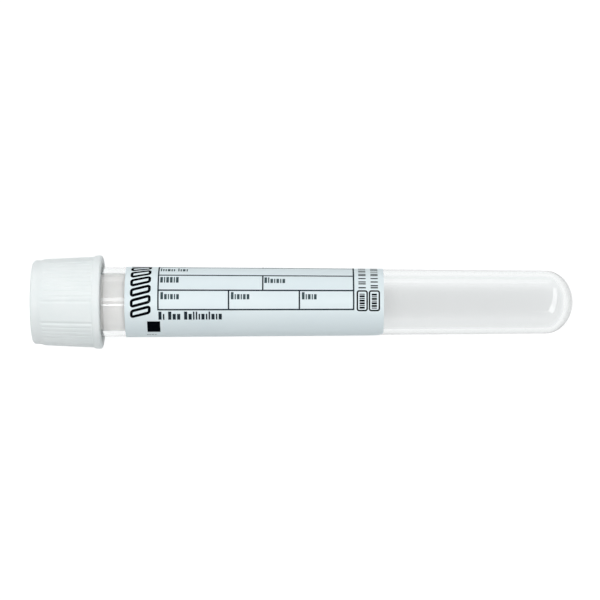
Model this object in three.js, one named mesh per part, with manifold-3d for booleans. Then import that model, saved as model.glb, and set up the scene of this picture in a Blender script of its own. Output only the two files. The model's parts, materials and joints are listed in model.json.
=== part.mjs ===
// Evacuated blood collection tube, 13 x 100 mm, closed with its push-on cap.
//
// Millimetres. The pieces are modelled upright round the Y axis, with the tip of the round
// bottom at y = 0 and the cap's flat top highest. The finished assembly is then laid down
// as it rests on a table: cap towards -X, printed front up (+Z), lowest point on z = 0.
//
// Angles round the tube are degrees, counted from the printed front.

import * as THREE from "three";
import { mergeVertices } from "three/addons/utils/BufferGeometryUtils.js";
import Module from "manifold-3d";

const wasm = await Module();
wasm.setup();

// ---------------------------------------------------------------- driving dimensions

// Facets round every turned piece. They are few, so that each is wide enough for the tube to
// lie still on. A multiple of four keeps the pieces as wide as they are deep, with one facet
// facing straight down.
const SEGMENTS = 24;

// Tube
const TUBE_LENGTH = 100.5; // rim to the tip of the bottom
const MOUTH_RADIUS = 6.7; // outside, at the rim
const BOTTOM_RADIUS = 6.0; // outside, where the wall runs into the bottom
const BOTTOM_HEIGHT = 5.2; // height of the rounded bottom
const TUBE_WALL = 1.0;
const BOTTOM_WALL = 1.3; // at the tip, under the injection point
const RIM_ROUNDING = 0.3;

// Cap
const CAP_TOP_THICKNESS = 1.0;
const NEEDLE_OPENING_RADIUS = 3.4;
const OPENING_CHAMFER = 0.3;
const BAND_RADIUS = 8.0; // plain band round the top
const BAND_HEIGHT = 1.5;
const TOP_ROUNDING = 0.7;
const SHOULDER_HEIGHT = 0.9; // slope from the plain band out to the grip
const GRIP_RADIUS = 8.27; // at the grip's upper end
const GRIP_LENGTH = 9.3;
const GRIP_DRAFT = 2.5; // degrees, widening towards the lip
const LIP_RADIUS = 8.92;
const LIP_FLARE = 0.8; // height of the flare from grip to lip
const LIP_BAND = 0.3; // straight height of the lip
const LIP_EDGE_HEIGHT = 0.5; // rounded lower edge
const LIP_EDGE_DEPTH = 0.6;
const BORE_LEAD_IN = 0.6;

// Grip pattern: smooth finger panels with fine ribs between them
const PANEL_COUNT = 4;
const PANEL_SPAN = 29.5; // degrees
const FIRST_PANEL_ANGLE = -13.75;
const RIBS_PER_GROUP = 9;
const RIB_GROOVE_WIDTH = 0.46;
const RIB_GROOVE_DEPTH = 0.16;
const PANEL_GROOVE_WIDTH = 0.62;
const PANEL_GROOVE_DEPTH = 0.26;

// Stopper
const FLANGE_THICKNESS = 1.4;
const PLUG_LENGTH = 16.2; // below the rim
const LOWER_SEAL_LENGTH = 5.0; // sealing band at the plug's lower end
const UPPER_SEAL_LENGTH = 3.0; // sealing band at the rim
const WAIST_DEPTH = 0.3; // relief between the two bands
const PLUG_CHAMFER = 0.6;
const DISH_RADIUS = 2.8; // thin spot under the needle opening
const DISH_DEPTH = 0.9;
const HOLLOW_RADIUS = 3.3; // hollow in the plug's underside
const HOLLOW_DEPTH = 12.0;
const HOLLOW_CHAMFER = 1.2;

// Retaining ring, snapped in under the stopper's flange
const RING_HEIGHT = 1.4;
const RING_THICKNESS = 0.5;
const RING_CHAMFER = 0.15;

// Label
const LABEL_LENGTH = 49.0;
const LABEL_BELOW_RIM = 15.3;
const LABEL_THICKNESS = 0.12;
const LABEL_CORNER = 2.8; // rounding of the two corners near the round bottom
const WINDOW_SPAN = 45.0; // bare strip for reading the fill level
const WINDOW_ANGLE = 250.0;

// Clearances
const SEAT_GAP = 0.05; // between faces that press together
const PLUG_CLEARANCE = 0.05;
const RING_CLEARANCE = 0.15; // ring round the tube
const FLANGE_CLEARANCE = 0.2; // flange inside the cap
const SKIRT_CLEARANCE = 0.4; // cap skirt round the tube
const LABEL_CLEARANCE = 0.02;

// ------------------------------------------------------------------- derived heights

const RIM = TUBE_LENGTH;
const WALL_TOP = RIM - RIM_ROUNDING;
const FLANGE_BOTTOM = RIM + SEAT_GAP;
const FLANGE_TOP = FLANGE_BOTTOM + FLANGE_THICKNESS;
const CAP_UNDERSIDE = FLANGE_TOP + SEAT_GAP;
const CAP_TOP = CAP_UNDERSIDE + CAP_TOP_THICKNESS;
const BAND_BOTTOM = CAP_TOP - BAND_HEIGHT;
const GRIP_TOP = BAND_BOTTOM - SHOULDER_HEIGHT;
const GRIP_BOTTOM = GRIP_TOP - GRIP_LENGTH;
const LIP_TOP = GRIP_BOTTOM - LIP_FLARE;
const LIP_BOTTOM = LIP_TOP - LIP_BAND;
const CAP_BOTTOM = LIP_BOTTOM - LIP_EDGE_HEIGHT;

const RING_TOP = FLANGE_BOTTOM - SEAT_GAP;
const RING_BOTTOM = RING_TOP - RING_HEIGHT;
const RING_INNER = MOUTH_RADIUS + RING_CLEARANCE;
const RING_OUTER = RING_INNER + RING_THICKNESS;
const RING_SEAT_RADIUS = RING_OUTER + SEAT_GAP;
const RING_LEDGE = RING_BOTTOM - SEAT_GAP;
const SKIRT_BORE = MOUTH_RADIUS + SKIRT_CLEARANCE;
const FLANGE_RADIUS = RING_SEAT_RADIUS - FLANGE_CLEARANCE;

const PLUG_BOTTOM = RIM - PLUG_LENGTH;
const LABEL_TOP = RIM - LABEL_BELOW_RIM;
const LABEL_BOTTOM = LABEL_TOP - LABEL_LENGTH;

const DRAFT_SLOPE = Math.tan(THREE.MathUtils.degToRad(GRIP_DRAFT));

// ------------------------------------------------------------------- shape functions

// Points along a quarter ellipse about (centreR, centreY), between two angles in degrees.
function arc(centreR, centreY, sizeR, sizeY, from, to, steps) {
  const points = [];
  for (let i = 0; i <= steps; i++) {
    const a = THREE.MathUtils.degToRad(from + ((to - from) * i) / steps);
    points.push([centreR + sizeR * Math.cos(a), centreY + sizeY * Math.sin(a)]);
  }
  return points;
}

// A piece turned round the Y axis from [radius, height] points, which run up its outside
// and down its inside and start and end on the axis.
function turned(points) {
  const profile = points.map(([r, y]) => new THREE.Vector2(Math.max(r, 0), y));
  return new THREE.LatheGeometry(profile, SEGMENTS, Math.PI / SEGMENTS, 2 * Math.PI);
}

// A turned piece with a hole right through it: its outline closes on itself.
function turnedRing(points) {
  return turned([...points, points[0]]);
}

// A closed geometry as a solid that can be joined and cut.
function toSolid(geometry) {
  const bare = geometry.clone();
  bare.deleteAttribute("normal");
  bare.deleteAttribute("uv");
  const merged = mergeVertices(bare);
  const corners = merged.index.array;
  const triangles = [];
  for (let i = 0; i < corners.length; i += 3) {
    const [a, b, c] = corners.slice(i, i + 3);
    if (a !== b && b !== c && c !== a) triangles.push(a, b, c);
  }
  return new wasm.Manifold(
    new wasm.Mesh({
      numProp: 3,
      vertProperties: new Float32Array(merged.attributes.position.array),
      triVerts: new Uint32Array(triangles),
    }),
  );
}

function toGeometry(solid) {
  const mesh = solid.getMesh();
  const geometry = new THREE.BufferGeometry();
  geometry.setAttribute("position", new THREE.BufferAttribute(mesh.vertProperties, 3));
  geometry.setIndex(new THREE.BufferAttribute(mesh.triVerts, 1));
  geometry.computeVertexNormals();
  return geometry;
}

// A shape drawn across the Y axis (x sideways, y outwards) and extruded downwards.
function extrudedDown(points, length) {
  const shape = new THREE.Shape(points.map(([x, y]) => new THREE.Vector2(x, y)));
  const geometry = new THREE.ExtrudeGeometry(shape, { depth: length, bevelEnabled: false });
  return geometry.rotateX(Math.PI / 2);
}

// Outside of the tube's wall, which widens evenly from the bottom to the rim.
function tubeRadius(height) {
  const share = (height - BOTTOM_HEIGHT) / (WALL_TOP - BOTTOM_HEIGHT);
  return BOTTOM_RADIUS + (MOUTH_RADIUS - BOTTOM_RADIUS) * share;
}

// Outside of the plug where it seals against the tube's wall.
function plugRadius(height) {
  return tubeRadius(height) - TUBE_WALL - PLUG_CLEARANCE;
}

// Outside of the grip, which widens evenly towards the lip.
function gripRadius(height) {
  return GRIP_RADIUS + (GRIP_TOP - height) * DRAFT_SLOPE;
}

// ---------------------------------------------------------------------------- pieces

// One moulding: a long slightly tapered wall, an open mouth and a closed round bottom.
function tubeBody() {
  const outer = MOUTH_RADIUS - RIM_ROUNDING;
  const inner = MOUTH_RADIUS - TUBE_WALL + RIM_ROUNDING;
  const innerBottom = BOTTOM_RADIUS - TUBE_WALL;
  const innerHeight = BOTTOM_HEIGHT - BOTTOM_WALL;
  return turned([
    ...arc(0, BOTTOM_HEIGHT, BOTTOM_RADIUS, BOTTOM_HEIGHT, -90, 0, 9),
    ...arc(outer, WALL_TOP, RIM_ROUNDING, RIM_ROUNDING, 0, 90, 3),
    ...arc(inner, WALL_TOP, RIM_ROUNDING, RIM_ROUNDING, 90, 180, 3),
    ...arc(0, BOTTOM_HEIGHT, innerBottom, innerHeight, 0, -90, 8),
  ]);
}

// The cap before its grip is cut: skirt, flared lip, ring seat and open top.
function capBlank() {
  const lipEdge = LIP_RADIUS - LIP_EDGE_DEPTH;
  const gripEnd = gripRadius(GRIP_BOTTOM);
  const topEdge = BAND_RADIUS - TOP_ROUNDING;
  return turnedRing([
    [SKIRT_BORE + BORE_LEAD_IN, CAP_BOTTOM],
    ...arc(lipEdge, LIP_BOTTOM, LIP_EDGE_DEPTH, LIP_EDGE_HEIGHT, -90, 0, 4),
    ...arc(gripEnd, LIP_TOP, LIP_RADIUS - gripEnd, LIP_FLARE, 0, 90, 3),
    [GRIP_RADIUS, GRIP_TOP],
    [BAND_RADIUS, BAND_BOTTOM],
    ...arc(topEdge, CAP_TOP - TOP_ROUNDING, TOP_ROUNDING, TOP_ROUNDING, 0, 90, 4),
    [NEEDLE_OPENING_RADIUS + OPENING_CHAMFER, CAP_TOP],
    [NEEDLE_OPENING_RADIUS, CAP_TOP - OPENING_CHAMFER],
    [NEEDLE_OPENING_RADIUS, CAP_UNDERSIDE],
    [RING_SEAT_RADIUS, CAP_UNDERSIDE],
    [RING_SEAT_RADIUS, RING_LEDGE],
    [SKIRT_BORE, RING_LEDGE],
    [SKIRT_BORE, CAP_BOTTOM + BORE_LEAD_IN],
  ]);
}

// Cutter for one V-groove down the grip. It fades out on the shoulder and ends at the lip.
function grooveCutter(width, depth, angle) {
  const reach = 0.5;
  const halfWidth = (width / 2) * (1 + reach / depth);
  const outline = [
    [0, -depth],
    [halfWidth, reach],
    [-halfWidth, reach],
  ];
  const cutter = extrudedDown(outline, BAND_BOTTOM - GRIP_BOTTOM);
  cutter.rotateX(-THREE.MathUtils.degToRad(GRIP_DRAFT));
  cutter.translate(0, BAND_BOTTOM, gripRadius(BAND_BOTTOM));
  return toSolid(cutter.rotateY(THREE.MathUtils.degToRad(angle)));
}

// Every groove of the grip: a deeper one on each side of a panel, fine ones between ribs.
function gripGrooves() {
  const sector = 360 / PANEL_COUNT;
  const pitch = (sector - PANEL_SPAN) / RIBS_PER_GROUP;
  const grooves = [];
  for (let panel = 0; panel < PANEL_COUNT; panel++) {
    const groupStart = FIRST_PANEL_ANGLE + panel * sector + PANEL_SPAN / 2;
    for (let i = 0; i <= RIBS_PER_GROUP; i++) {
      const atPanel = i === 0 || i === RIBS_PER_GROUP;
      const width = atPanel ? PANEL_GROOVE_WIDTH : RIB_GROOVE_WIDTH;
      const depth = atPanel ? PANEL_GROOVE_DEPTH : RIB_GROOVE_DEPTH;
      grooves.push(grooveCutter(width, depth, groupStart + i * pitch));
    }
  }
  return grooves;
}

function capShell() {
  let cap = toSolid(capBlank());
  for (const groove of gripGrooves()) cap = cap.subtract(groove);
  return toGeometry(cap);
}

// Rubber stopper: a flange that sits on the rim, and a plug with two sealing bands.
function stopper() {
  const hollowTop = PLUG_BOTTOM + HOLLOW_DEPTH;
  const sealStart = PLUG_BOTTOM + PLUG_CHAMFER;
  const waistStart = PLUG_BOTTOM + LOWER_SEAL_LENGTH;
  const waistEnd = RIM - UPPER_SEAL_LENGTH;
  return turned([
    [0, hollowTop],
    [HOLLOW_RADIUS - HOLLOW_CHAMFER, hollowTop],
    [HOLLOW_RADIUS, hollowTop - HOLLOW_CHAMFER],
    [HOLLOW_RADIUS, PLUG_BOTTOM],
    [plugRadius(PLUG_BOTTOM) - PLUG_CHAMFER, PLUG_BOTTOM],
    [plugRadius(sealStart), sealStart],
    [plugRadius(waistStart), waistStart],
    [plugRadius(waistStart) - WAIST_DEPTH, waistStart + WAIST_DEPTH],
    [plugRadius(waistEnd) - WAIST_DEPTH, waistEnd - WAIST_DEPTH],
    [plugRadius(waistEnd), waistEnd],
    [plugRadius(WALL_TOP), WALL_TOP],
    [plugRadius(WALL_TOP), FLANGE_BOTTOM],
    [FLANGE_RADIUS, FLANGE_BOTTOM],
    [FLANGE_RADIUS, FLANGE_TOP],
    [DISH_RADIUS, FLANGE_TOP],
    ...arc(0, FLANGE_TOP, DISH_RADIUS, DISH_DEPTH, -15, -90, 5),
  ]);
}

function retainingRing() {
  return turnedRing([
    [RING_INNER, RING_BOTTOM],
    [RING_OUTER - RING_CHAMFER, RING_BOTTOM],
    [RING_OUTER, RING_BOTTOM + RING_CHAMFER],
    [RING_OUTER, RING_TOP - RING_CHAMFER],
    [RING_OUTER - RING_CHAMFER, RING_TOP],
    [RING_INNER, RING_TOP],
  ]);
}

// Cutter that clears the bare strip out of the label's sleeve.
function windowCutter() {
  const reach = 2 * MOUTH_RADIUS;
  const half = THREE.MathUtils.degToRad(WINDOW_SPAN / 2);
  const sector = [
    [0, 0],
    [reach * Math.sin(half), reach * Math.cos(half)],
    [-reach * Math.sin(half), reach * Math.cos(half)],
  ];
  const cutter = extrudedDown(sector, 3 * LABEL_LENGTH);
  cutter.translate(0, LABEL_TOP + LABEL_LENGTH, 0);
  return toSolid(cutter.rotateY(THREE.MathUtils.degToRad(WINDOW_ANGLE)));
}

// Cutter that rounds a lower corner of the label: a square with a quarter circle taken out
// of it, pushed through the sleeve from outside. along is 1 or -1 for the two corners.
function cornerCutter(along) {
  const radius = tubeRadius(LABEL_BOTTOM);
  const over = 0.2;
  const shape = new THREE.Shape();
  shape.moveTo(-along * over, -over);
  shape.lineTo(-along * over, LABEL_CORNER);
  shape.lineTo(0, LABEL_CORNER);
  const start = along > 0 ? Math.PI : 0;
  const end = -Math.PI / 2;
  shape.absarc(along * LABEL_CORNER, LABEL_CORNER, LABEL_CORNER, start, end, along < 0);
  shape.lineTo(along * LABEL_CORNER, -over);
  const cutter = new THREE.ExtrudeGeometry(shape, {
    depth: radius,
    bevelEnabled: false,
    curveSegments: 8,
  });
  cutter.translate(0, LABEL_BOTTOM, radius / 2);
  const edge = WINDOW_ANGLE + (along * WINDOW_SPAN) / 2;
  return toSolid(cutter.rotateY(THREE.MathUtils.degToRad(edge)));
}

// A thin sleeve on the tube's taper, cut open along the bare strip.
function label() {
  const low = tubeRadius(LABEL_BOTTOM) + LABEL_CLEARANCE;
  const high = tubeRadius(LABEL_TOP) + LABEL_CLEARANCE;
  const sleeve = turnedRing([
    [low, LABEL_BOTTOM],
    [low + LABEL_THICKNESS, LABEL_BOTTOM],
    [high + LABEL_THICKNESS, LABEL_TOP],
    [high, LABEL_TOP],
  ]);
  let sheet = toSolid(sleeve).subtract(windowCutter());
  for (const along of [1, -1]) sheet = sheet.subtract(cornerCutter(along));
  return toGeometry(sheet);
}

// ------------------------------------------------------------------------- materials

const CLEAR_PET = new THREE.MeshStandardMaterial({
  color: 0xe6ebed,
  roughness: 0.08,
  metalness: 0,
  transparent: true,
  opacity: 0.4,
});
const WHITE_PE = new THREE.MeshStandardMaterial({ color: 0xeef3f3, roughness: 0.4, metalness: 0 });
const RING_PE = new THREE.MeshStandardMaterial({ color: 0xf2f2ee, roughness: 0.5, metalness: 0 });
const RUBBER = new THREE.MeshStandardMaterial({ color: 0xd3cfc9, roughness: 0.65, metalness: 0 });
const PAPER = new THREE.MeshStandardMaterial({ color: 0xe1ebef, roughness: 0.45, metalness: 0 });

// -------------------------------------------------------------------------- assembly

function piece(name, geometry, material) {
  const mesh = new THREE.Mesh(geometry, material);
  mesh.name = name;
  return mesh;
}

const upright = new THREE.Group();
upright.add(
  piece("tube_body", tubeBody(), CLEAR_PET),
  piece("label", label(), PAPER),
  piece("stopper", stopper(), RUBBER),
  piece("retaining_ring", retainingRing(), RING_PE),
  piece("cap_shell", capShell(), WHITE_PE),
);

// Lying down, it touches the table with the lip of the cap and the end of the tube's wall.
const restTilt = Math.atan((LIP_RADIUS - BOTTOM_RADIUS) / (LIP_BOTTOM - BOTTOM_HEIGHT));
upright.rotation.set(0, restTilt, Math.PI / 2);

const part = new THREE.Group();
part.add(upright);
const box = new THREE.Box3().setFromObject(part, true);
const centre = box.getCenter(new THREE.Vector3());
upright.position.set(-centre.x, -centre.y, -box.min.z);

export default part;
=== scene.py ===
"""Looks of an evacuated blood collection tube: clear PET tube, wrap-round form label, rubber
stopper and ribbed white cap, lying on a pale table and seen from straight above.

Sizes are in millimetres, and become metres where a point is placed. Every piece is turned
round the tube's axis: a point is given by its radius, its height above the tip of the round
bottom, and its angle from the printed front, positive towards +Y.
"""

import json
import math

import bmesh
import bpy
from mathutils import Matrix, Vector


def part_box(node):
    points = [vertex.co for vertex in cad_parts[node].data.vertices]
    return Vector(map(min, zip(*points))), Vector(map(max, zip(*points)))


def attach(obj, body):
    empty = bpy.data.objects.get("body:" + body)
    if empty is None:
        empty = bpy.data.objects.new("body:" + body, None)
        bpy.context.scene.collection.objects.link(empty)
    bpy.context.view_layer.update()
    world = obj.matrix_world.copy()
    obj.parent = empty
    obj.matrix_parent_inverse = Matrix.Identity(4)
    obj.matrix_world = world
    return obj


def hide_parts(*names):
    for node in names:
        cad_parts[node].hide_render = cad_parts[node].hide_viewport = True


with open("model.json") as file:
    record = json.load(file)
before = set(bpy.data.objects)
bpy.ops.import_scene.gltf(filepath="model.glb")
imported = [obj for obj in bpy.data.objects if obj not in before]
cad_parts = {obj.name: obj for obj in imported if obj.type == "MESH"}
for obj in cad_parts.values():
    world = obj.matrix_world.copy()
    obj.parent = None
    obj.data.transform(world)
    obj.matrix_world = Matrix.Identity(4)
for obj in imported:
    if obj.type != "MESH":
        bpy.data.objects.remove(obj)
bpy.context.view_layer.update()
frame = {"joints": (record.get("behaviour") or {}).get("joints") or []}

MM = 0.001
RING_NODE = "retaining_ring"

# ------------------------------------------------------------------------ sizes, in mm

TUBE_LENGTH = 100.5
MOUTH_RADIUS = 6.7
BOTTOM_RADIUS = 6.0
BOTTOM_HEIGHT = 5.2
TUBE_WALL = 1.0
BOTTOM_WALL = 1.3
RIM_ROUNDING = 0.3

CAP_TOP_THICKNESS = 1.0
NEEDLE_OPENING_RADIUS = 3.4
OPENING_ROUNDING = 0.3
BAND_RADIUS = 8.0
BAND_HEIGHT = 1.5
TOP_ROUNDING = 0.7
SHOULDER_HEIGHT = 0.9
GRIP_RADIUS = 8.27
GRIP_LENGTH = 9.3
GRIP_DRAFT = math.radians(2.5)
LIP_RADIUS = 8.92
LIP_FLARE = 0.8
LIP_BAND = 0.3
LIP_EDGE_HEIGHT = 0.5
LIP_EDGE_DEPTH = 0.6
BORE_LEAD_IN = 0.6

PANEL_COUNT = 4
PANEL_SPAN = 29.5
FIRST_PANEL_ANGLE = -13.75
RIBS_PER_GROUP = 9
RIB_GROOVE_WIDTH = 0.46
RIB_GROOVE_DEPTH = 0.085
PANEL_GROOVE_WIDTH = 0.9
PANEL_GROOVE_DEPTH = 0.16
PANEL_DISH_DEPTH = 0.13
SHADING_RING = 0.02  # above the lip, a ring of points that keeps the grip's shading crisp

FLANGE_THICKNESS = 1.4
PLUG_LENGTH = 16.2
LOWER_SEAL_LENGTH = 5.0
UPPER_SEAL_LENGTH = 3.0
WAIST_DEPTH = 0.3
PLUG_ROUNDING = 0.6
DISH_RADIUS = 2.8
DISH_DEPTH = 0.9
HOLLOW_RADIUS = 3.3
HOLLOW_DEPTH = 12.0
HOLLOW_ROUNDING = 1.2

RING_HEIGHT = 1.4
RING_THICKNESS = 0.5
RING_CHAMFER = 0.15

LABEL_LENGTH = 49.0
LABEL_BELOW_RIM = 15.3
LABEL_THICKNESS = 0.12
LABEL_CORNER = 2.8
WINDOW_SPAN = 45.0
WINDOW_ANGLE = 250.0

SEAT_GAP = 0.05
PLUG_CLEARANCE = 0.05
RING_CLEARANCE = 0.15
FLANGE_CLEARANCE = 0.2
SKIRT_CLEARANCE = 0.4
LABEL_CLEARANCE = 0.02

RIM = TUBE_LENGTH
WALL_TOP = RIM - RIM_ROUNDING
FLANGE_BOTTOM = RIM + SEAT_GAP
FLANGE_TOP = FLANGE_BOTTOM + FLANGE_THICKNESS
CAP_UNDERSIDE = FLANGE_TOP + SEAT_GAP
CAP_TOP = CAP_UNDERSIDE + CAP_TOP_THICKNESS
BAND_BOTTOM = CAP_TOP - BAND_HEIGHT
GRIP_TOP = BAND_BOTTOM - SHOULDER_HEIGHT
GRIP_BOTTOM = GRIP_TOP - GRIP_LENGTH
LIP_TOP = GRIP_BOTTOM - LIP_FLARE
LIP_BOTTOM = LIP_TOP - LIP_BAND
CAP_BOTTOM = LIP_BOTTOM - LIP_EDGE_HEIGHT
RING_TOP = FLANGE_BOTTOM - SEAT_GAP
RING_BOTTOM = RING_TOP - RING_HEIGHT
RING_INNER = MOUTH_RADIUS + RING_CLEARANCE
RING_OUTER = RING_INNER + RING_THICKNESS
RING_SEAT_RADIUS = RING_OUTER + SEAT_GAP
RING_LEDGE = RING_BOTTOM - SEAT_GAP
SKIRT_BORE = MOUTH_RADIUS + SKIRT_CLEARANCE
FLANGE_RADIUS = RING_SEAT_RADIUS - FLANGE_CLEARANCE
PLUG_BOTTOM = RIM - PLUG_LENGTH
LABEL_TOP = RIM - LABEL_BELOW_RIM
LABEL_BOTTOM = LABEL_TOP - LABEL_LENGTH

ROUND_STEPS = 192
CAP_ROUND_STEPS = 720  # fine enough for the grip's ribs

# --------------------------------------------------- print: mm, and degrees from the front

INK_HEIGHT = 0.018  # above the label
INK_ROOT = 0.03  # into the label
STROKE_TURN = 2.0  # most degrees between two points of a stroke

FORM_LINE = 0.28
FORM_LEFT = 78.86  # height of the form's end by the cap
FORM_RIGHT = 41.93  # height of its other end
FORM_ROWS = (12.4, -19.8, -49.9, -80.0, -110.0)  # angles of the lines along the tube
FORM_DIVIDERS = ((65.55, 0), (52.18, 0), (59.1, 1), (59.1, 3))  # height, and the row it divides

# The bars of a row: width and height, as shares of the row's size
BARS = {"l": (0.24, 1.0), "h": (0.24, 1.38), "m": (0.5, 1.0), "H": (0.5, 1.38)}
BAR_GAP = 0.2
SPACE = 0.4

# Rows of bars in the form: the bars, and the height and angle where the row starts
CAPTIONS = (
    ("Hmlmlm", 78.4, -4.6),
    ("Hlmlmm", 65.1, -4.6),
    ("Hlmlm", 51.7, -4.6),
    ("HhHHhH", 78.5, -33.6),
    ("Hhmlmlm", 58.8, -33.6),
    ("hllmll hlml", 78.5, -61.5),
    ("Hlmlmlmm", 78.5, -91.5),
    ("Hmlmlm", 58.8, -91.5),
)

# The column of slanted outlines: the angle of the first, and the turn from each to the next
SLANTED_COUNT = 8
SLANTED_START = 16.0
SLANTED_PITCH = 17.5

# The two marked columns: height of the base line, bars in the frame, and bars beside it
COLUMNS = (
    (39.63, "HhHHhHh", "h hh h hh hh h h"),
    (37.33, "hHHhHhH", "hh h h hh h hh h"),
)

# -------------------------------------------------- materials, stage, lamps and camera

NOISE_LOW = 0.35  # most of a noise lies between these two values
NOISE_HIGH = 0.65

FLOOR_SIZE = 6.0  # m
FLOOR_DROP = 0.2  # mm below the tube
FLOOR_COLOUR = (0.82, 0.84, 0.85)
FLOOR_GLOW = 0.88
FLOOR_LIT_SHARE = 0.25

# A painted shadow of the tube and its label on the table, which clear plastic and glossy
# surfaces show: the table glows dimmer by these shares at these places in mm. The reach is how
# far each curve goes to either side of the middle of the frame.
ACROSS_REACH = 40.0
PAINTED_SHADOW_ACROSS = (
    (-20.0, 0.0), (-14.0, 0.05), (-6.0, 0.26), (-2.8, 0.54),
    (2.4, 0.54), (5.2, 0.12), (12.0, 0.0),
)
ALONG_REACH = 80.0
PAINTED_SHADOW_ALONG = (
    (-37.0, 0.0), (-32.0, 1.0), (14.0, 1.0), (15.5, 0.95),
    (19.0, 0.66), (46.0, 0.66), (52.0, 0.4), (57.0, 0.0),
)

WORLD_LIGHT = 0.31
WORLD_THROUGH_PLASTIC = 1.6  # stands for the lamps too, which clear plastic does not show
LAMP_AIM = Vector((0.0, 0.0, 0.008))  # m, near the middle of the tube

CAMERA_DISTANCE = 0.5  # m
SEEN_WIDTH = 0.1147  # m
SENSOR = 36.0  # mm
CLIP_START = 0.01  # m
AIM_HEIGHT = 52.06  # mm along the tube from its tip
AIM_ACROSS = 0.4  # mm

# ---------------------------------------------------------------- placing on the frame

CAP_DIRECTION = Vector(frame["joints"][0]["axis"]).normalized()
ACROSS = Vector((0.0, 1.0, 0.0))
FRONT = ACROSS.cross(CAP_DIRECTION)

ring_low, ring_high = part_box(RING_NODE)
TIP = (ring_low + ring_high) / 2 - CAP_DIRECTION * ((RING_TOP + RING_BOTTOM) / 2 * MM)


def at(radius, height, angle):
    """The point at a radius and height in mm, and an angle in degrees."""
    turn = math.radians(angle)
    out = ACROSS * math.sin(turn) + FRONT * math.cos(turn)
    return TIP + CAP_DIRECTION * (height * MM) + out * (radius * MM)


def arc(centre_r, centre_h, size_r, size_h, start, end, steps):
    """Points along an ellipse in a flat plane, between two angles in degrees."""
    points = []
    for i in range(steps + 1):
        a = math.radians(start + (end - start) * i / steps)
        points.append((centre_r + size_r * math.cos(a), centre_h + size_h * math.sin(a)))
    return points


def rounding(centre_r, centre_h, radius, start, end, steps):
    """Points along a circle in a flat plane, between two angles in degrees."""
    return arc(centre_r, centre_h, radius, radius, start, end, steps)


def part_way(start, end, i, steps):
    """The flat point after i of the equal steps from start to end."""
    return tuple(a + (b - a) * i / steps for a, b in zip(start, end))


def stretch(start, end, steps):
    """Evenly spaced points between two section points, without the ends."""
    return [part_way(start, end, i, steps) for i in range(1, steps)]


def tube_radius(height):
    """Outside of the tapered tube."""
    share = (height - BOTTOM_HEIGHT) / (WALL_TOP - BOTTOM_HEIGHT)
    return BOTTOM_RADIUS + (MOUTH_RADIUS - BOTTOM_RADIUS) * share


def plug_radius(height):
    """Outside of the stopper's plug, which follows the tube's bore."""
    return tube_radius(height) - TUBE_WALL - PLUG_CLEARANCE


def grip_radius(height):
    """Outside of the cap's grip, without its pattern."""
    return GRIP_RADIUS + (GRIP_TOP - height) * math.tan(GRIP_DRAFT)


# -------------------------------------------------------------------------- mesh tools


def make_object(name, vertices, faces, smooth_below=40.0):
    """A mesh object with outward faces, smooth except at edges sharper than an angle."""
    mesh = bpy.data.meshes.new(name)
    mesh.from_pydata(vertices, [], faces)
    work = bmesh.new()
    work.from_mesh(mesh)
    bmesh.ops.recalc_face_normals(work, faces=work.faces)
    work.to_mesh(mesh)
    work.free()
    for polygon in mesh.polygons:
        polygon.use_smooth = True
    mesh.set_sharp_from_angle(angle=math.radians(smooth_below))
    obj = bpy.data.objects.new(name, mesh)
    bpy.context.scene.collection.objects.link(obj)
    return obj


def revolve(name, profile, steps, relief=None):
    """Turns a section of (radius, height) points round the axis into a closed mesh.

    The section starts and ends on the axis, or closes on itself. relief(radius, height,
    angle) may change the radius of a point.
    """
    vertices = []
    rings = []
    for radius, height in profile:
        if radius == 0:
            rings.append([len(vertices)])
            vertices.append(at(0, height, 0))
            continue
        rings.append(list(range(len(vertices), len(vertices) + steps)))
        for i in range(steps):
            angle = 360.0 * i / steps
            r = relief(radius, height, angle) if relief else radius
            vertices.append(at(r, height, angle))
    closes = len(rings[0]) > 1
    next_rings = rings[1:] + rings[:1] if closes else rings[1:]
    faces = []
    for low, high in zip(rings, next_rings):
        for i in range(steps):
            j = (i + 1) % steps
            low_side = [low[i % len(low)], low[j % len(low)]]
            high_side = [high[j % len(high)], high[i % len(high)]]
            faces.append(list(dict.fromkeys(low_side + high_side)))
    return make_object(name, vertices, faces)


# ------------------------------------------------------------------------ turned pieces


def build_tube():
    """The outside from the tip up to the rim, then the inside back down."""
    outer_edge = MOUTH_RADIUS - RIM_ROUNDING
    inner_edge = MOUTH_RADIUS - TUBE_WALL + RIM_ROUNDING
    inner_radius = BOTTOM_RADIUS - TUBE_WALL
    inner_height = BOTTOM_HEIGHT - BOTTOM_WALL
    outer_low = (BOTTOM_RADIUS, BOTTOM_HEIGHT)
    outer_high = (MOUTH_RADIUS, WALL_TOP)
    inner_low = (inner_radius, BOTTOM_HEIGHT)
    inner_high = (MOUTH_RADIUS - TUBE_WALL, WALL_TOP)
    profile = [
        (0.0, 0.0),
        *arc(0, BOTTOM_HEIGHT, BOTTOM_RADIUS, BOTTOM_HEIGHT, -90, 0, steps=40)[1:],
        *stretch(outer_low, outer_high, steps=24),
        *rounding(outer_edge, WALL_TOP, RIM_ROUNDING, 0, 90, steps=8),
        *rounding(inner_edge, WALL_TOP, RIM_ROUNDING, 90, 180, steps=8),
        *stretch(inner_high, inner_low, steps=24),
        *arc(0, BOTTOM_HEIGHT, inner_radius, inner_height, 0, -90, steps=36)[:-1],
        (0.0, BOTTOM_WALL),
    ]
    return revolve("clear_tube", profile, ROUND_STEPS)


def groove_share(angle, centre, width, radius):
    """How deep a rounded V-groove is at an angle: 1 in its middle, 0 beside it."""
    away = abs((angle - centre + 180.0) % 360.0 - 180.0)
    across = math.radians(away) * radius / (width / 2)
    return 0.5 + 0.5 * math.cos(math.pi * across) if across < 1 else 0.0


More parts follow.
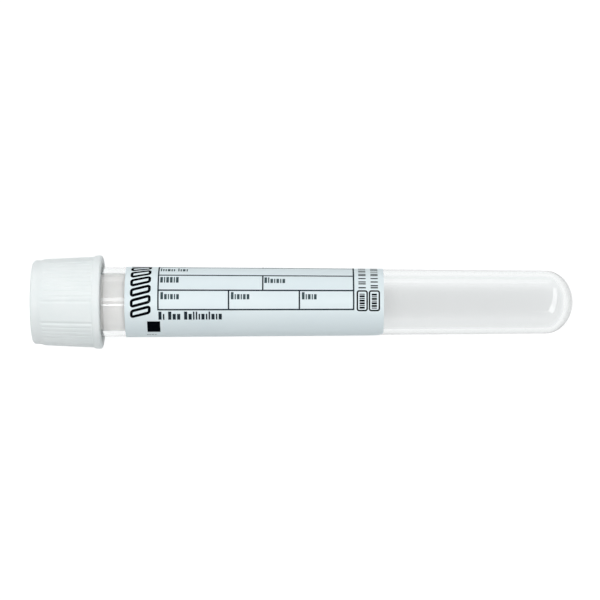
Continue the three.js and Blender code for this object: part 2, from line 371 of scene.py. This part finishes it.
def grip_depth(angle, radius):
    """How far the grip's pattern lies below its smooth outer surface."""
    sector = 360.0 / PANEL_COUNT
    place = (angle - FIRST_PANEL_ANGLE + sector / 2) % sector - sector / 2
    half = PANEL_SPAN / 2
    dish = PANEL_DISH_DEPTH * (1 - (place / half) ** 2) if abs(place) < half else 0.0
    edge = max(groove_share(place, side * half, PANEL_GROOVE_WIDTH, radius) for side in (-1, 1))
    pitch = (sector - PANEL_SPAN) / RIBS_PER_GROUP
    rib = round((abs(place) - half) / pitch)
    fine = 0.0
    if rib >= 1:
        fine = groove_share(abs(place), half + rib * pitch, RIB_GROOVE_WIDTH, radius)
    return max(dish + edge * PANEL_GROOVE_DEPTH, fine * RIB_GROOVE_DEPTH)


def grip_relief(radius, height, angle):
    """Cuts the grip's pattern where it lies below the turned outside of the cap."""
    in_bore = radius <= SKIRT_BORE + BORE_LEAD_IN
    if in_bore or not GRIP_BOTTOM <= height <= BAND_BOTTOM:
        return radius
    smooth = grip_radius(height)
    return min(radius, smooth - grip_depth(angle, smooth))


def build_cap():
    """The outside from the lip's edge up and over the top, then the inside back down."""
    lip_edge = LIP_RADIUS - LIP_EDGE_DEPTH
    grip_end = grip_radius(GRIP_BOTTOM)
    top_edge = BAND_RADIUS - TOP_ROUNDING
    opening_edge = NEEDLE_OPENING_RADIUS + OPENING_ROUNDING
    shoulder_top = (BAND_RADIUS, BAND_BOTTOM)
    shoulder_low = (GRIP_RADIUS, GRIP_TOP)
    profile = [
        *arc(lip_edge, LIP_BOTTOM, LIP_EDGE_DEPTH, LIP_EDGE_HEIGHT, -90, 0, steps=14),
        *arc(grip_end, LIP_TOP, LIP_RADIUS - grip_end, LIP_FLARE, 0, 90, steps=14),
        (grip_end, GRIP_BOTTOM + SHADING_RING),
        *stretch((grip_end, GRIP_BOTTOM), shoulder_low, steps=8),
        shoulder_low,
        *stretch(shoulder_low, shoulder_top, steps=12),
        shoulder_top,
        *rounding(top_edge, CAP_TOP - TOP_ROUNDING, TOP_ROUNDING, 0, 90, steps=10),
        *rounding(opening_edge, CAP_TOP - OPENING_ROUNDING, OPENING_ROUNDING, 90, 180, steps=6),
        (NEEDLE_OPENING_RADIUS, CAP_UNDERSIDE),
        (RING_SEAT_RADIUS, CAP_UNDERSIDE),
        (RING_SEAT_RADIUS, RING_LEDGE),
        (SKIRT_BORE, RING_LEDGE),
        (SKIRT_BORE, CAP_BOTTOM + BORE_LEAD_IN),
        (SKIRT_BORE + BORE_LEAD_IN, CAP_BOTTOM),
    ]
    return revolve("ribbed_cap", profile, CAP_ROUND_STEPS, grip_relief)


def build_stopper():
    """From the hollow's top down round the plug, then up over the flange to its dish."""
    hollow_top = PLUG_BOTTOM + HOLLOW_DEPTH
    waist_start = PLUG_BOTTOM + LOWER_SEAL_LENGTH
    waist_end = RIM - UPPER_SEAL_LENGTH
    hollow_edge = HOLLOW_RADIUS - HOLLOW_ROUNDING
    plug_edge = plug_radius(PLUG_BOTTOM) - PLUG_ROUNDING
    profile = [
        (0.0, hollow_top),
        *rounding(hollow_edge, hollow_top - HOLLOW_ROUNDING, HOLLOW_ROUNDING, 90, 0, steps=8),
        (HOLLOW_RADIUS, PLUG_BOTTOM),
        *rounding(plug_edge, PLUG_BOTTOM + PLUG_ROUNDING, PLUG_ROUNDING, -90, 0, steps=8),
        (plug_radius(waist_start), waist_start),
        (plug_radius(waist_start) - WAIST_DEPTH, waist_start + WAIST_DEPTH),
        (plug_radius(waist_end) - WAIST_DEPTH, waist_end - WAIST_DEPTH),
        (plug_radius(waist_end), waist_end),
        (plug_radius(WALL_TOP), FLANGE_BOTTOM),
        (FLANGE_RADIUS, FLANGE_BOTTOM),
        (FLANGE_RADIUS, FLANGE_TOP),
        *arc(0, FLANGE_TOP, DISH_RADIUS, DISH_DEPTH, 0, -90, steps=12)[:-1],
        (0.0, FLANGE_TOP - DISH_DEPTH),
    ]
    return revolve("rubber_stopper", profile, ROUND_STEPS)


def build_ring():
    """The hidden ring that holds the stopper's flange in the cap."""
    profile = [
        (RING_INNER, RING_BOTTOM),
        (RING_OUTER - RING_CHAMFER, RING_BOTTOM),
        (RING_OUTER, RING_BOTTOM + RING_CHAMFER),
        (RING_OUTER, RING_TOP - RING_CHAMFER),
        (RING_OUTER - RING_CHAMFER, RING_TOP),
        (RING_INNER, RING_TOP),
    ]
    return revolve("stopper_ring", profile, ROUND_STEPS)


# -------------------------------------------------------------------- label and its print


def label_radius(height):
    """Outside of the label, where ink lies."""
    return tube_radius(height) + LABEL_CLEARANCE + LABEL_THICKNESS


def corner_inset(from_end):
    """How far a rounded corner draws the label's long edge in, in mm, near its lower end."""
    if from_end >= LABEL_CORNER:
        return 0.0
    return LABEL_CORNER - math.sqrt(LABEL_CORNER**2 - (LABEL_CORNER - from_end) ** 2)


def build_label():
    """A thin wrapped sheet, closed on all its edges, with its two lower corners rounded."""
    corner_steps = 12
    long_steps = 24
    round_steps = 160
    turns = [math.pi / 2 * i / corner_steps for i in range(corner_steps)]
    corner = [LABEL_CORNER * (1 - math.cos(turn)) for turn in turns]
    straight = LABEL_LENGTH - LABEL_CORNER
    rows = corner + [LABEL_CORNER + straight * i / long_steps for i in range(long_steps + 1)]
    first = WINDOW_ANGLE + WINDOW_SPAN / 2
    span = 360.0 - WINDOW_SPAN
    vertices = []
    for depth in (LABEL_THICKNESS, 0.0):
        for row in rows:
            radius = label_radius(LABEL_BOTTOM + row) - depth
            inset = math.degrees(corner_inset(row) / radius)
            for i in range(round_steps + 1):
                angle = first + inset + (span - 2 * inset) * i / round_steps
                vertices.append(at(radius, LABEL_BOTTOM + row, angle))
    return make_object("form_label", vertices, shell_faces(len(rows), round_steps + 1))


def shell_faces(rows, columns):
    """Faces of a closed shell over two equal grids of points, which follow one another."""
    count = rows * columns
    faces = []
    for r in range(rows - 1):
        for c in range(columns - 1):
            a = r * columns + c
            quad = [a, a + 1, a + columns + 1, a + columns]
            faces.append(quad)
            faces.append([count + v for v in reversed(quad)])
    border = list(range(columns))
    border += [r * columns + columns - 1 for r in range(1, rows)]
    border += [(rows - 1) * columns + c for c in range(columns - 2, -1, -1)]
    border += [r * columns for r in range(rows - 2, 0, -1)]
    for a, b in zip(border, border[1:] + border[:1]):
        faces.append([a, b, count + b, count + a])
    return faces


def divided(path, closed):
    """A path with points added where it runs far round the label, to follow its curve."""
    ends = path[1:] + path[:1] if closed else path[1:]
    fine = [] if closed else [path[0]]
    for start, end in zip(path, ends):
        steps = max(1, math.ceil(abs(end[1] - start[1]) / STROKE_TURN))
        kept = range(steps) if closed else range(1, steps + 1)
        fine += [part_way(start, end, i, steps) for i in kept]
    return fine


def side_step(before, point, after, half):
    """Step from a path's point to the edge of its stroke, square to the path there."""
    normals = []
    for start, end in ((before, point), (point, after)):
        h, a = end[0] - start[0], end[1] - start[1]
        size = math.hypot(h, a)
        if size > 0:
            normals.append((-a / size, h / size))
    h = sum(n[0] for n in normals)
    a = sum(n[1] for n in normals)
    size = math.hypot(h, a)
    lean = (h * normals[0][0] + a * normals[0][1]) / size
    return h / size * half / lean, a / size * half / lean


class Ink:
    """Gathers printed strokes of one colour, and makes them one piece on the label.

    A point of a stroke is (height, angle): mm above the tip, and degrees from the front,
    counted the way the form is read, which is towards -Y.
    """

    def __init__(self, name):
        self.name = name
        self.vertices = []
        self.faces = []

    def stroke(self, path, width, closed=False):
        """A line of even width along a path of (height, angle) points."""
        flat = [(h, math.radians(a) * label_radius(h)) for h, a in divided(path, closed)]
        count = len(flat)
        first = len(self.vertices)
        for i, (h, a) in enumerate(flat):
            before = flat[i - 1] if i or closed else flat[i]
            after = flat[(i + 1) % count] if i + 1 < count or closed else flat[i]
            side_h, side_a = side_step(before, (h, a), after, width / 2)
            for side in (-1, 1):
                edge_h = h + side * side_h
                turn = math.degrees((a + side * side_a) / label_radius(h))
                radius = label_radius(edge_h)
                self.vertices.append(at(radius - INK_ROOT, edge_h, -turn))
                self.vertices.append(at(radius + INK_HEIGHT, edge_h, -turn))
        # Each point of the path has four corners: low and high on one side, then the other
        for i in range(count if closed else count - 1):
            here = first + 4 * i
            ahead = first + 4 * ((i + 1) % count)
            for p, q in ((0, 1), (1, 3), (3, 2), (2, 0)):
                self.faces.append([here + p, here + q, ahead + q, ahead + p])
        if not closed:
            last = first + 4 * (count - 1)
            self.faces.append([first, first + 2, first + 3, first + 1])
            self.faces.append([last, last + 1, last + 3, last + 2])

    def block(self, height, angle, length, wide):
        """A filled block about a middle point: length along the tube, wide round it."""
        half = math.degrees(wide / 2 / label_radius(height))
        self.stroke([(height, angle - half), (height, angle + half)], length)

    def outline(self, height, angle, length, wide, corner_radius, line, slant=0.0):
        """The outline of a rounded box about a middle point, pushed over by `slant` mm."""
        radius = label_radius(height)
        path = []
        corners = ((1, 1, 0), (-1, 1, 90), (-1, -1, 180), (1, -1, 270))
        for side_h, side_a, start in corners:
            centre_h = height + side_h * (length / 2 - corner_radius)
            centre_a = math.radians(angle) * radius + side_a * (wide / 2 - corner_radius)
            corner = rounding(centre_h, centre_a, corner_radius, start, start + 90, steps=4)
            for h, a in corner:
                pushed = a + slant * (h - height) / length
                path.append((h, math.degrees(pushed / radius)))
        self.stroke(path, line, closed=True)

    def row(self, marks, height, angle, size, climbs=False):
        """A row of plain bars that stands for a line of small print.

        It starts at its base line and runs along the tube, or climbs round it with the tops
        of the bars towards the cap. `marks` names its bars, and a space is left open.
        size is the height of the low bars in mm.
        """
        radius = label_radius(height)
        along = 0.0
        for mark in marks:
            if mark == " ":
                along += SPACE * size
                continue
            wide, tall = (share * size for share in BARS[mark])
            middle = along + wide / 2
            if climbs:
                turned = angle - math.degrees(middle / radius)
                path = [(height, turned), (height + tall, turned)]
            else:
                top = angle - math.degrees(tall / radius)
                path = [(height - middle, angle), (height - middle, top)]
            self.stroke(path, wide)
            along += wide + BAR_GAP * size

    def build(self):
        """Makes the gathered strokes one piece."""
        return make_object(self.name, self.vertices, self.faces, smooth_below=30.0)


def build_form():
    """The ruled form: lines along and round the tube, with boxes to write in."""
    ink = Ink("form_lines")
    over = FORM_LINE / 2
    for row in FORM_ROWS:
        ink.stroke([(FORM_LEFT + over, row), (FORM_RIGHT - over, row)], FORM_LINE)
    for height in (FORM_LEFT, FORM_RIGHT):
        ink.stroke([(height, FORM_ROWS[0]), (height, FORM_ROWS[-1])], FORM_LINE)
    for height, row in FORM_DIVIDERS:
        ink.stroke([(height, FORM_ROWS[row]), (height, FORM_ROWS[row + 1])], FORM_LINE)
    return ink.build()


def build_captions():
    """Rows of small bars in the form's boxes, where its captions would stand."""
    ink = Ink("form_captions")
    for marks, height, angle in CAPTIONS:
        ink.row(marks, height, angle, size=1.0)
    return ink.build()


def build_heading():
    """The bolder row of bars under the form."""
    ink = Ink("form_heading")
    ink.row("Hl Hmm Hmhhlmlhmlm", height=78.8, angle=29.8, size=1.2)
    return ink.build()


def build_marks():
    """The square, the column of slanted outlines and the two marked columns."""
    ink = Ink("printed_marks")
    ink.block(height=79.75, angle=45.2, length=2.45, wide=2.85)
    for i in range(SLANTED_COUNT):
        ink.outline(
            height=82.2, angle=SLANTED_START - SLANTED_PITCH * i, length=3.4, wide=1.15,
            corner_radius=0.35, line=0.52, slant=0.9,
        )
    for base, inside, beside in COLUMNS:
        ink.outline(
            height=base + 0.68, angle=-2.4, length=1.85, wide=3.75,
            corner_radius=0.35, line=FORM_LINE,
        )
        ink.row(inside, height=base + 0.2, angle=11.0, size=0.72, climbs=True)
        ink.row(beside, height=base, angle=-24.0, size=1.0, climbs=True)
    return ink.build()


def build_small_print():
    """The row of tiny bars under the square."""
    ink = Ink("small_print")
    ink.row("ll ll lll ll", height=81.1, angle=68.0, size=0.35)
    return ink.build()


# ----------------------------------------------------------------------------- materials


def new_material(name):
    """A material with its node tree's nodes and links and its surface shader."""
    material = bpy.data.materials.new(name)
    material.use_nodes = True
    nodes = material.node_tree.nodes
    return material, nodes, material.node_tree.links, nodes["Principled BSDF"]


def add_noise(nodes, links, scale, detail=3.0, stretch=(1.0, 1.0, 1.0)):
    """Noise in the piece's own coordinates, in cycles per metre."""
    place = nodes.new("ShaderNodeTexCoord")
    mapping = nodes.new("ShaderNodeMapping")
    mapping.inputs["Scale"].default_value = stretch
    noise = nodes.new("ShaderNodeTexNoise")
    noise.inputs["Scale"].default_value = scale
    noise.inputs["Detail"].default_value = detail
    links.new(place.outputs["Object"], mapping.inputs["Vector"])
    links.new(mapping.outputs["Vector"], noise.inputs["Vector"])
    return noise.outputs["Fac"]


def vary_colour(nodes, links, shader, factor, low, high):
    """Lets the base colour wander between two near colours."""
    ramp = nodes.new("ShaderNodeValToRGB")
    ramp.color_ramp.elements[0].position = NOISE_LOW
    ramp.color_ramp.elements[0].color = (*low, 1.0)
    ramp.color_ramp.elements[1].position = NOISE_HIGH
    ramp.color_ramp.elements[1].color = (*high, 1.0)
    links.new(factor, ramp.inputs["Fac"])
    links.new(ramp.outputs["Color"], shader.inputs["Base Color"])


def vary_roughness(nodes, links, shader, factor, low, high):
    """Lets the roughness wander between two near values."""
    spread = nodes.new("ShaderNodeMapRange")
    spread.inputs["To Min"].default_value = low
    spread.inputs["To Max"].default_value = high
    links.new(factor, spread.inputs["Value"])
    links.new(spread.outputs["Result"], shader.inputs["Roughness"])


def add_bump(nodes, links, shader, factor, strength, distance):
    """Raises the surface a little, by a distance in metres."""
    bump = nodes.new("ShaderNodeBump")
    bump.inputs["Strength"].default_value = strength
    bump.inputs["Distance"].default_value = distance
    links.new(factor, bump.inputs["Height"])
    links.new(bump.outputs["Normal"], shader.inputs["Normal"])


def glow_inside(shader, weight, depth):
    """Lets light sink in and spread, by a depth in metres."""
    shader.inputs["Subsurface Weight"].default_value = weight
    shader.inputs["Subsurface Radius"].default_value = (1.0, 1.0, 1.0)
    shader.inputs["Subsurface Scale"].default_value = depth


def clear_pet():
    """Clear moulded PET: a faint grey cast and long shallow flow marks."""
    material, nodes, links, shader = new_material("clear_pet_moulded")
    shader.inputs["Transmission Weight"].default_value = 1.0
    shader.inputs["IOR"].default_value = 1.5
    flow = add_noise(nodes, links, scale=90.0, detail=2.0, stretch=(0.15, 1.0, 1.0))
    vary_colour(nodes, links, shader, flow, (0.97, 0.978, 0.98), (0.982, 0.988, 0.99))
    vary_roughness(nodes, links, shader, flow, 0.02, 0.05)
    add_bump(nodes, links, shader, flow, strength=0.15, distance=0.0001)
    return material


def cap_plastic():
    """White polyethylene: a soft satin skin with a fine moulded grain."""
    material, nodes, links, shader = new_material("white_polyethylene")
    grain = add_noise(nodes, links, scale=2600.0)
    cloud = add_noise(nodes, links, scale=160.0)
    vary_colour(nodes, links, shader, cloud, (0.775, 0.82, 0.82), (0.805, 0.84, 0.84))
    vary_roughness(nodes, links, shader, grain, 0.38, 0.5)
    add_bump(nodes, links, shader, grain, strength=0.12, distance=0.00003)
    glow_inside(shader, weight=0.4, depth=0.0009)
    shader.inputs["Specular IOR Level"].default_value = 0.35
    return material


def ring_plastic():
    """Natural unpolished plastic of the hidden ring."""
    material, nodes, links, shader = new_material("natural_ring_plastic")
    grain = add_noise(nodes, links, scale=1800.0)
    vary_colour(nodes, links, shader, grain, (0.82, 0.82, 0.79), (0.86, 0.86, 0.83))
    vary_roughness(nodes, links, shader, grain, 0.45, 0.6)
    add_bump(nodes, links, shader, grain, strength=0.15, distance=0.00003)
    return material


def stopper_rubber():
    """Pale grey rubber with a warm cast and a faint mottle."""
    material, nodes, links, shader = new_material("pale_rubber")
    mottle = add_noise(nodes, links, scale=420.0)
    vary_colour(nodes, links, shader, mottle, (0.88, 0.865, 0.845), (0.91, 0.9, 0.88))
    vary_roughness(nodes, links, shader, mottle, 0.5, 0.65)
    add_bump(nodes, links, shader, mottle, strength=0.2, distance=0.00005)
    glow_inside(shader, weight=0.7, depth=0.002)
    return material


def label_film():
    """White coated film with a cool cast and faint wrap waves."""
    material, nodes, links, shader = new_material("white_label_film")
    cloud = add_noise(nodes, links, scale=140.0, detail=4.0, stretch=(0.5, 1.0, 1.0))
    fibre = add_noise(nodes, links, scale=3000.0)
    vary_colour(nodes, links, shader, cloud, (0.685, 0.768, 0.797), (0.715, 0.797, 0.82))
    vary_roughness(nodes, links, shader, fibre, 0.4, 0.5)
    add_bump(nodes, links, shader, cloud, strength=0.1, distance=0.0001)
    return material


def printing_ink(name, low, high):
    """Printing ink, a little uneven where it covers the film."""
    material, nodes, links, shader = new_material(name)
    patch = add_noise(nodes, links, scale=1500.0, detail=4.0)
    vary_colour(nodes, links, shader, patch, low, high)
    vary_roughness(nodes, links, shader, patch, 0.45, 0.6)
    shader.inputs["Specular IOR Level"].default_value = 0.0
    return material


# -------------------------------------------------------------------------------- stage


def ray_share(nodes, links, names):
    """1 for rays of the kinds named, and 0 for all others."""
    path = nodes.new("ShaderNodeLightPath")
    share = path.outputs[names[0]]
    for name in names[1:]:
        either = nodes.new("ShaderNodeMath")
        either.operation = "MAXIMUM"
        links.new(share, either.inputs[0])
        links.new(path.outputs[name], either.inputs[1])
        share = either.outputs["Value"]
    return share


def choose_shader(nodes, links, share, other, chosen):
    """Shows the chosen shader where the share is 1, and the other where it is 0."""
    mix = nodes.new("ShaderNodeMixShader")
    links.new(share, mix.inputs["Fac"])
    links.new(other, mix.inputs[1])
    links.new(chosen, mix.inputs[2])
    return mix.outputs["Shader"]


def glowing(nodes, links, strength, lit_share):
    """A surface that glows evenly, and is lit a little so that it keeps a faint shadow."""
    glow = nodes.new("ShaderNodeEmission")
    glow.inputs["Strength"].default_value = strength
    lit = nodes.new("ShaderNodeBsdfDiffuse")
    lit.inputs["Color"].default_value = (*(lit_share * c for c in FLOOR_COLOUR), 1.0)
    both = nodes.new("ShaderNodeAddShader")
    links.new(glow.outputs["Emission"], both.inputs[0])
    links.new(lit.outputs["BSDF"], both.inputs[1])
    return both.outputs["Shader"]


def ramp_along(nodes, links, value, reach, stops):
    """A smooth curve over a place on the table: stops are (mm, level) inside +-reach mm."""
    spread = nodes.new("ShaderNodeMapRange")
    spread.inputs["From Min"].default_value = -reach * MM
    spread.inputs["From Max"].default_value = reach * MM
    links.new(value, spread.inputs["Value"])
    ramp = nodes.new("ShaderNodeValToRGB")
    ramp.color_ramp.interpolation = "B_SPLINE"
    elements = ramp.color_ramp.elements
    elements.remove(elements[1])
    for i, (place, level) in enumerate(stops):
        position = (place / reach + 1) / 2
        element = elements.new(position) if i else elements[0]
        element.position = position
        element.color = (level, level, level, 1.0)
    links.new(spread.outputs["Result"], ramp.inputs["Fac"])
    return ramp.outputs["Color"]


def combine(nodes, links, operation, first, second):
    """Joins two values, of which the first may be a plain number."""
    maths = nodes.new("ShaderNodeMath")
    maths.operation = operation
    if isinstance(first, float):
        maths.inputs[0].default_value = first
    else:
        links.new(first, maths.inputs[0])
    links.new(second, maths.inputs[1])
    return maths.outputs["Value"]


def painted_shadow_glow(nodes, links):
    """The table as clear plastic and glossy surfaces show it, with a painted shadow: dimmer
    under the tube, and most by the label.
    """
    geometry = nodes.new("ShaderNodeNewGeometry")
    place = nodes.new("ShaderNodeSeparateXYZ")
    links.new(geometry.outputs["Position"], place.inputs[0])
    across = ramp_along(nodes, links, place.outputs["Y"], ACROSS_REACH, PAINTED_SHADOW_ACROSS)
    along = ramp_along(nodes, links, place.outputs["X"], ALONG_REACH, PAINTED_SHADOW_ALONG)
    shade = combine(nodes, links, "MULTIPLY", across, along)
    glow = nodes.new("ShaderNodeEmission")
    glow.inputs["Color"].default_value = (0.985, 1.0, 1.0, 1.0)
    links.new(combine(nodes, links, "SUBTRACT", 1.0, shade), glow.inputs["Strength"])
    return glow.outputs["Emission"]


def build_floor():
    """A pale table. It is white to the eye, and keeps a faint shadow of the tube; through clear
    plastic and in reflections it shows a painted shadow of the tube and label.
    """
    bpy.ops.mesh.primitive_plane_add(size=FLOOR_SIZE, location=(0.0, 0.0, -FLOOR_DROP * MM))
    floor = bpy.context.object
    floor.name = "table"
    material, nodes, links, shader = new_material("pale_table")
    shader.inputs["Base Color"].default_value = (*FLOOR_COLOUR, 1.0)
    shader.inputs["Roughness"].default_value = 0.8
    shader.inputs["Specular IOR Level"].default_value = 0.0
    mirrored = ray_share(nodes, links, ("Is Glossy Ray", "Is Transmission Ray"))
    seen = ray_share(nodes, links, ("Is Camera Ray",))
    # painted shadow of the tube and label, shown through clear plastic and in reflections
    painted_shadow_behind_plastic = painted_shadow_glow(nodes, links)
    surface = choose_shader(nodes, links, mirrored, shader.outputs["BSDF"], painted_shadow_behind_plastic)
    to_the_eye = glowing(nodes, links, FLOOR_GLOW, FLOOR_LIT_SHARE)
    surface = choose_shader(nodes, links, seen, surface, to_the_eye)
    links.new(surface, nodes["Material Output"].inputs["Surface"])
    floor.data.materials.append(material)


def add_background(nodes, colour, strength):
    """An even background of one colour."""
    background = nodes.new("ShaderNodeBackground")
    background.inputs["Color"].default_value = (*colour, 1.0)
    background.inputs["Strength"].default_value = strength
    return background.outputs["Background"]


def build_world():
    """Soft light from all round. It is white to the eye, and whiter through clear plastic."""
    world = bpy.data.worlds.new("studio")
    bpy.context.scene.world = world
    world.use_nodes = True
    nodes, links = world.node_tree.nodes, world.node_tree.links
    nodes.clear()
    light = add_background(nodes, (0.97, 0.99, 1.0), WORLD_LIGHT)
    white = add_background(nodes, (1.0, 1.0, 1.0), 1.0)
    through = add_background(nodes, (1.0, 1.0, 1.0), WORLD_THROUGH_PLASTIC)
    output = nodes.new("ShaderNodeOutputWorld")
    seen = ray_share(nodes, links, ("Is Camera Ray", "Is Glossy Ray"))
    surface = choose_shader(nodes, links, seen, light, white)
    refracted = ray_share(nodes, links, ("Is Transmission Ray",))
    surface = choose_shader(nodes, links, refracted, surface, through)
    links.new(surface, output.inputs["Surface"])


def add_lamp(name, location, size, power):
    """A rectangular lamp that faces down, and that neither the eye nor clear plastic sees."""
    data = bpy.data.lights.new(name, "AREA")
    data.shape = "RECTANGLE"
    data.size, data.size_y = size
    data.energy = power
    lamp = bpy.data.objects.new(name, data)
    bpy.context.scene.collection.objects.link(lamp)
    lamp.location = location
    lamp.visible_camera = False
    lamp.visible_transmission = False
    return lamp


def add_softbox(name, location, size, power):
    """A lamp aimed at the tube. It lights surfaces, and glossy ones don't mirror it."""
    lamp = add_lamp(name, location, size, power)
    aim = LAMP_AIM - lamp.location
    lamp.rotation_euler = aim.to_track_quat("-Z", "Y").to_euler()
    lamp.visible_glossy = False


def add_glint(name, location, size, brightness, turn=0.0, tip=0.0):
    """A lamp that lights nothing, and that glossy surfaces mirror as a streak.

    It faces down unless it is tipped up, and turns about the upright. Both are in degrees.
    """
    lamp = add_lamp(name, location, size, brightness * math.pi * size[0] * size[1])
    lamp.rotation_euler = (math.radians(tip), 0.0, math.radians(turn))
    lamp.visible_diffuse = False


def build_lights():
    """Two soft lamps for light and shadow, and four for what glossy surfaces mirror."""
    add_softbox("overhead", location=(-0.05, 0.0, 0.7), size=(0.5, 0.4), power=3.5)
    add_softbox("far_softbox", location=(-0.25, 0.5, 0.3), size=(0.6, 0.3), power=0.85)
    add_glint("narrow_glint", (-0.068, -0.05, 0.31), size=(0.064, 0.024), brightness=14.0)
    add_glint("wide_glint", (-0.068, 0.045, 0.31), size=(0.064, 0.06), brightness=5.2)
    add_glint("end_glint", (0.368, 0.19, 0.31), size=(0.2, 0.95), brightness=4.2, turn=-22.0)
    add_glint("far_wall", (0.0, 0.6, 0.1), size=(0.5, 0.2), brightness=1.2, tip=-90.0)


# ------------------------------------------------------------------------------- camera


def build_camera():
    """Looks squarely down on the tube, with its axis level across the picture."""
    data = bpy.data.cameras.new("camera")
    data.sensor_width = SENSOR
    data.lens = SENSOR * CAMERA_DISTANCE / SEEN_WIDTH
    data.clip_start = CLIP_START
    camera = bpy.data.objects.new("camera", data)
    bpy.context.scene.collection.objects.link(camera)
    right = -CAP_DIRECTION
    middle = at(0, AIM_HEIGHT, 0) + ACROSS * (AIM_ACROSS * MM)
    turn = Matrix((right, ACROSS, FRONT)).transposed().to_4x4()
    camera.matrix_world = Matrix.Translation(middle + FRONT * CAMERA_DISTANCE) @ turn
    bpy.context.scene.camera = camera


# ------------------------------------------------------------------------------ assembly


def dress(piece, material, slot, body, *stands_for):
    """Gives a piece its material and its body, and hides the solid it stands for. The slot is
    not used.
    """
    piece.data.materials.append(material)
    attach(piece, body)
    if stands_for:
        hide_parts(*stands_for)


build_camera()
dress(build_tube(), clear_pet(), "clear_pet", "tube", "tube_body")
dress(build_label(), label_film(), "label_film", "tube", "label")
dress(build_stopper(), stopper_rubber(), "butyl_rubber", "cap", "stopper")
dress(build_ring(), ring_plastic(), "ring_plastic", "cap", RING_NODE)
dress(build_cap(), cap_plastic(), "white_cap_plastic", "cap", "cap_shell")

black_ink = printing_ink("black_ink", (0.001, 0.002, 0.003), (0.003, 0.004, 0.006))
line_ink = printing_ink("line_ink", (0.02, 0.03, 0.038), (0.035, 0.045, 0.055))
grey_ink = printing_ink("grey_ink", (0.05, 0.075, 0.085), (0.08, 0.11, 0.12))
dress(build_form(), line_ink, "label_ink", "tube")
dress(build_captions(), grey_ink, "label_ink", "tube")
dress(build_heading(), line_ink, "label_ink", "tube")
dress(build_marks(), black_ink, "label_ink", "tube")
dress(build_small_print(), grey_ink, "label_ink", "tube")

build_floor()
build_world()
build_lights()
bpy.context.scene.view_settings.view_transform = "Standard"
